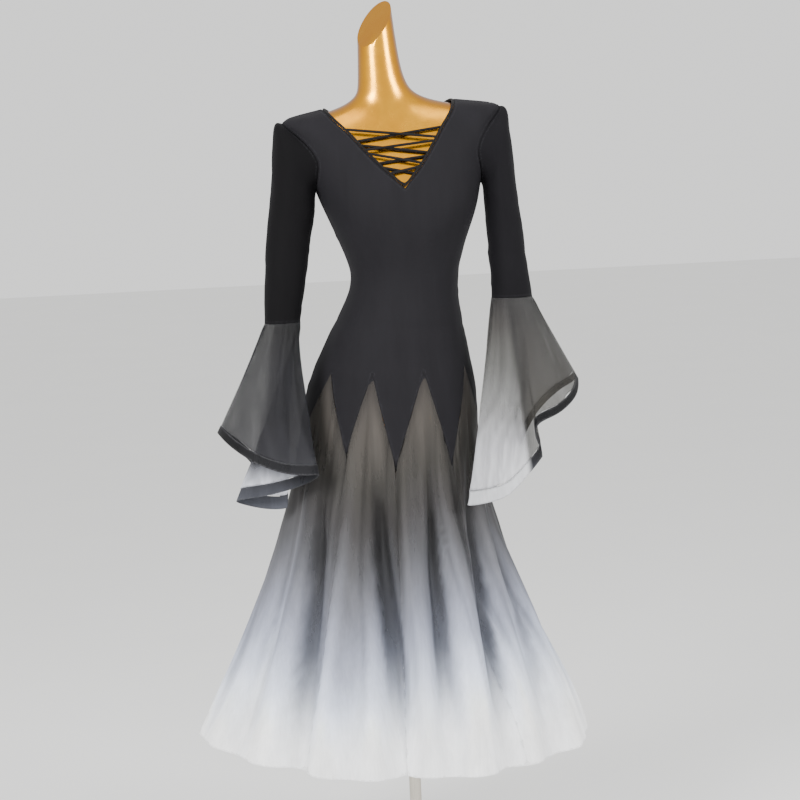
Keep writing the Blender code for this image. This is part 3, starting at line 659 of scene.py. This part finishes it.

# ---- sleeves; the arm's axis is given by height, as distance from the middle and as y
# the sleeves' knit is painted darker than the bodice's, the wearer's right sleeve darkest: painted shade
# on one black knit
sleeveLook = {
    "Right": {"side": -1.0, "colour": (9, 8, 10), "cuff": 1.125},
    "Left": {"side": 1.0, "colour": (17, 16, 19), "cuff": 1.15},
}
sleeveAxis = ([1.10, 1.23, 1.45], [0.218, 0.215, 0.19], [-0.055, -0.02, -0.01])
sleeveShade = ([1.10, 1.20, 1.45], [0.75, 1.0, 1.0])
sleeveSeam = {"reach": 0.020, "widest": 0.0075}
sleeveFold = 0.0011
for side, node, flat, area in (
    ("Right", "sleeve_right", (0.33, 0.37), 0.0905),
    ("Left", "sleeve_left", (0.31, 0.36), 0.0811),
):
    sleeve, rim = sewn[node]
    addRimMask(sleeve, rim)
    points = pointsOf(sleeve)
    beside = [rims["bodice_front"], rims["bodice_back"], rims["flounce_" + side.lower()]]
    points = closeSeams(points, rim, beside, **sleeveSeam)
    z, look = points[:, 2], sleeveLook[side]
    sign, (heights, across, behind) = look["side"], sleeveAxis
    axis = np.stack([sign * np.interp(z, heights, across), np.interp(z, heights, behind), z], axis=1)
    away, turn = outward(points - axis)
    pulled = hump(z, 1.225, 0.030) + 0.7 * hump(z, 1.30, 0.03) + 0.8 * hump(z, look["cuff"], 0.018)
    move = waver(z * 130 + turn * 1.1, turn * 2, 0.8 + sign) * sleeveFold * pulled
    move += waver(z * 44 + turn * 1.6, turn * 1.4, 3.3 + sign) * sleeveFold
    setPoints(sleeve, points + away * move[:, None])
    # painted shade: the sleeve's darker knit, and darker still towards the cuff
    shade = np.interp(z, *sleeveShade)
    addDyeAndShade(sleeve, np.array(linear(*look["colour"])) * shade[:, None])
    dress(sleeve, node, knitCloth)
print("sleeves made")

# ---- bell cuffs: gathered organza below the knit sleeve, with a braid on each hem
cuffTops = {"right": 1.106, "left": 1.132}
innerLight = [(0.80, (196, 196, 200)), (0.86, (174, 174, 178)), (0.92, (132, 132, 132)),
              (1.00, (90, 90, 88)), (1.08, (60, 58, 56)), (1.13, (34, 32, 32))]
outerDark = [(0.80, (66, 66, 64)), (0.90, (56, 54, 50)), (1.00, (48, 46, 43)), (1.08, (38, 36, 34)),
             (1.13, (26, 25, 25))]
tailGrey = [(0.76, (226, 228, 238)), (0.80, (214, 216, 226)), (0.825, (150, 152, 160)),
            (0.85, (44, 44, 48)), (0.93, (30, 30, 33)), (1.02, (27, 27, 30)), (1.10, (20, 20, 21))]


braidDye = [(0.76, (76, 78, 86)), (0.83, (30, 30, 33)), (0.88, (12, 12, 14)), (1.10, (10, 10, 12))]
braidLight = (186, 187, 190)
# how deep the bells' gathers and folds are, and how strongly painted light and shade streak along them
cuffFolds = {"gather": 0.0023, "fold": 0.0030, "streak": 0.22}
cuffSeam = {"reach": 0.010, "widest": 0.0025}
cuffSolid = {"right": 0.46, "rightBack": 0.20, "rightTail": 0.25, "left": 0.50, "leftInner": 0.12,
             "braid": 0.95}
# where the wearer's left bell turns from one panel to the other, and the width and strength of painted
# shade along the fold there
panelLook = {"x": 0.204, "top": 1.125, "lean": 0.08, "blend": 0.012, "creaseWidth": 0.005, "crease": 0.62}


def levelCentres(points, levels=9, share=0.75):
    # the middle of a bell at each height, since it doesn't hang straight down
    heights = np.linspace(points[:, 2].min(), points[:, 2].max(), levels)
    reach = (heights[1] - heights[0]) * share
    middles = []
    for height in heights:
        near = points[np.abs(points[:, 2] - height) < reach, :2]
        middles.append((near.min(axis=0) + near.max(axis=0)) / 2)
    middles = np.array(middles)
    return np.stack([np.interp(points[:, 2], heights, middles[:, i]) for i in range(2)], axis=1)


def panelEdge(z):
    # the x at which the wearer's left bell turns from its light, inner panel to its dark one
    return panelLook["x"] + (panelLook["top"] - z) * panelLook["lean"]


def innerShare(points):
    # 1 on the light panel, 0 on the dark one
    return fade(points[:, 0], panelEdge(points[:, 2]) + panelLook["blend"] / 2, -panelLook["blend"])


def cuffTone(points, side):
    x, z = points[:, 0], points[:, 2]
    if side == "right":
        return blendRows(z, tailGrey)
    share = innerShare(points)[:, None]
    # painted shade along the fold between the panels
    crease = hump(x, panelEdge(z) + panelLook["blend"] / 2, panelLook["creaseWidth"])
    crease *= panelLook["crease"]
    tone = blendRows(z, innerLight) * share + blendRows(z, outerDark) * (1 - share)
    return tone * (1 - crease[:, None])


def cuffSheer(points, side):
    if side == "left":
        return cuffSolid["left"] + cuffSolid["leftInner"] * innerShare(points)
    x, z = points[:, 0], points[:, 2]
    back = fade(x, -0.236 - (cuffTops["right"] - z) * 0.16, 0.014)
    tail = fade(z, 0.86, -0.03)
    return cuffSolid["right"] + cuffSolid["rightBack"] * back + cuffSolid["rightTail"] * tail


for side, node, flat, area in (
    ("right", "flounce_right", (0.60, 0.33), 0.1189),
    ("left", "flounce_left", (0.64, 0.35), 0.1170),
):
    bell, rim = sewn[node]
    addRimMask(bell, rim)
    points = pointsOf(bell)
    points = closeSeams(points, rim, [rims["sleeve_" + side], rims["braid_" + side]], **cuffSeam)
    away, turn = outward(points[:, :2] - levelCentres(points))
    z = points[:, 2]
    below = cuffTops[side] - z
    gathers = waver(turn * 15, z * 6, 0.3) * cuffFolds["gather"]
    gathers *= smooth(below / 0.012) * (1 - 0.85 * smooth(below / 0.12))
    folds = waver(turn * 6.5, z * 10, 2.2) * cuffFolds["fold"] * smooth(below / 0.10)
    points[:, :2] += away * (gathers + folds)[:, None]
    setPoints(bell, points)
    # painted light and shade in streaks along the gathers
    streaks = 1 + cuffFolds["streak"] * waver(turn * 18, z * 2, 1.3)
    addDyeAndShade(bell, np.clip(cuffTone(points, side) * streaks[:, None], 0, 1))
    addMask(bell, "sheer", cuffSheer(points, side))
    dress(bell, node, cuffCloth)
    band, rim = sewn["braid_" + side]
    addRimMask(band, rim)
    points = pointsOf(band)
    tone = blendRows(points[:, 2], braidDye)
    if side == "left":
        share = (innerShare(points) * fade(points[:, 2], 0.90, -0.05))[:, None]
        tone = tone * (1 - share) + np.array(linear(*braidLight)) * share
    addDyeAndShade(band, tone)
    addMask(band, "sheer", cuffSolid["braid"])
    dress(band, "braid_" + side, braidCloth)
print("bell cuffs made")

# ---- lacing and the neck's binding
laceLook = {"swell": 0.0008, "end": 0.0012, "stretch": 0.0042}


def swollen(piece):
    # rounding a cord off thins it, so it is swollen a little again
    return pointsOf(piece) + normalsOf(piece) * laceLook["swell"]


binding = pieceFrom("neck_binding", "neckBinding", levels=1, wall=None)[0]
setPoints(binding, swollen(binding))
dress(binding, "neck_binding", trim)
for number in range(1, 9):
    cord = pieceFrom(f"lace_{number}", f"lace{number}", levels=1, wall=None)[0]
    points = swollen(cord)
    middle = points.mean(axis=0)
    axis = np.linalg.svd(points - middle, full_matrices=False)[2][0]
    along = (points - middle) @ axis
    # both ends are drawn out into the binding that they are sewn to
    ends = (along > along.max() - laceLook["end"]) * 1.0 - (along < along.min() + laceLook["end"])
    setPoints(cord, points + ends[:, None] * axis * laceLook["stretch"])
    dress(cord, f"lace_{number}", trim)
print("lacing made")

# ---- the form's stand
for node in ("form_pole", "form_base"):
    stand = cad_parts[node]
    stand.data.materials.clear()
    stand.data.materials.append(steel)
print("stand made")

# ---- floor, daylight and camera
studioLook = {"floor": (236, 236, 235), "floorShade": (232, 232, 231), "floorRough": 0.95, "width": 40,
              "drop": 0.0005, "patches": ((1, 1, 1), 2.0, 3.0), "sky": (243, 243, 242), "skyPower": 1.35}
bpy.ops.mesh.primitive_plane_add(size=studioLook["width"], location=(0, 0, -studioLook["drop"]))
floor = bpy.context.object
floor.name = "studioFloor"
pale, tree, shader = newMaterial("paleFloor", Roughness=studioLook["floorRough"])
patchy = tintMix(tree, noiseAt(tree, *studioLook["patches"]), opaque(studioLook["floorShade"]),
                 opaque(studioLook["floor"]))
tree.links.new(patchy, shader.inputs["Base Color"])
floor.data.materials.append(pale)

world = bpy.data.worlds.new("studioDaylight")
bpy.context.scene.world = world
world.use_nodes = True
backdrop = world.node_tree.nodes["Background"]
backdrop.inputs["Color"].default_value = opaque(studioLook["sky"])
backdrop.inputs["Strength"].default_value = studioLook["skyPower"]


def aimed(item, spot):
    item.rotation_euler = (Vector(spot) - item.location).to_track_quat("-Z", "Y").to_euler()


for name, spot, size, power, aim in (
    ("leftSoftbox", (-2.3, -2.4, 2.5), 1.3, 150, (0, 0, 1.1)),
    ("rightSoftbox", (2.5, -2.0, 2.2), 1.1, 80, (0, 0, 1.1)),
    ("topSoftbox", (0.1, -0.6, 3.9), 1.8, 28, (0, 0, 1.0)),
):
    lamp = bpy.data.lights.new(name, "AREA")
    lamp.size, lamp.energy = size, power
    softbox = bpy.data.objects.new(name, lamp)
    softbox.location = spot
    bpy.context.scene.collection.objects.link(softbox)
    aimed(softbox, aim)

# fitted to the photo: where it stands, its turn in degrees, and how much it takes in at the dress
cameraLook = {"spot": (-0.43474, -4.17744, 1.42), "turn": (-6, -6.5, 2.6), "away": 4.2, "halfWidth": 0.76,
              "sensor": 36}
camera = bpy.data.objects.new("photoCamera", bpy.data.cameras.new("photoCamera"))
bpy.context.scene.collection.objects.link(camera)
yaw, pitch, roll = (math.radians(turn) for turn in cameraLook["turn"])
ahead = Vector((-math.sin(yaw) * math.cos(pitch), math.cos(yaw) * math.cos(pitch), math.sin(pitch)))
right = ahead.cross(Vector((0, 0, 1))).normalized()
up = right.cross(ahead)
across = right * math.cos(roll) - up * math.sin(roll)
upward = right * math.sin(roll) + up * math.cos(roll)
rows = zip(across, upward, -ahead, cameraLook["spot"])
camera.matrix_world = Matrix((*rows, (0, 0, 0, 1)))
camera.data.lens = cameraLook["sensor"] / 2 / (cameraLook["halfWidth"] / cameraLook["away"])
camera.data.sensor_width = cameraLook["sensor"]
bpy.context.scene.camera = camera
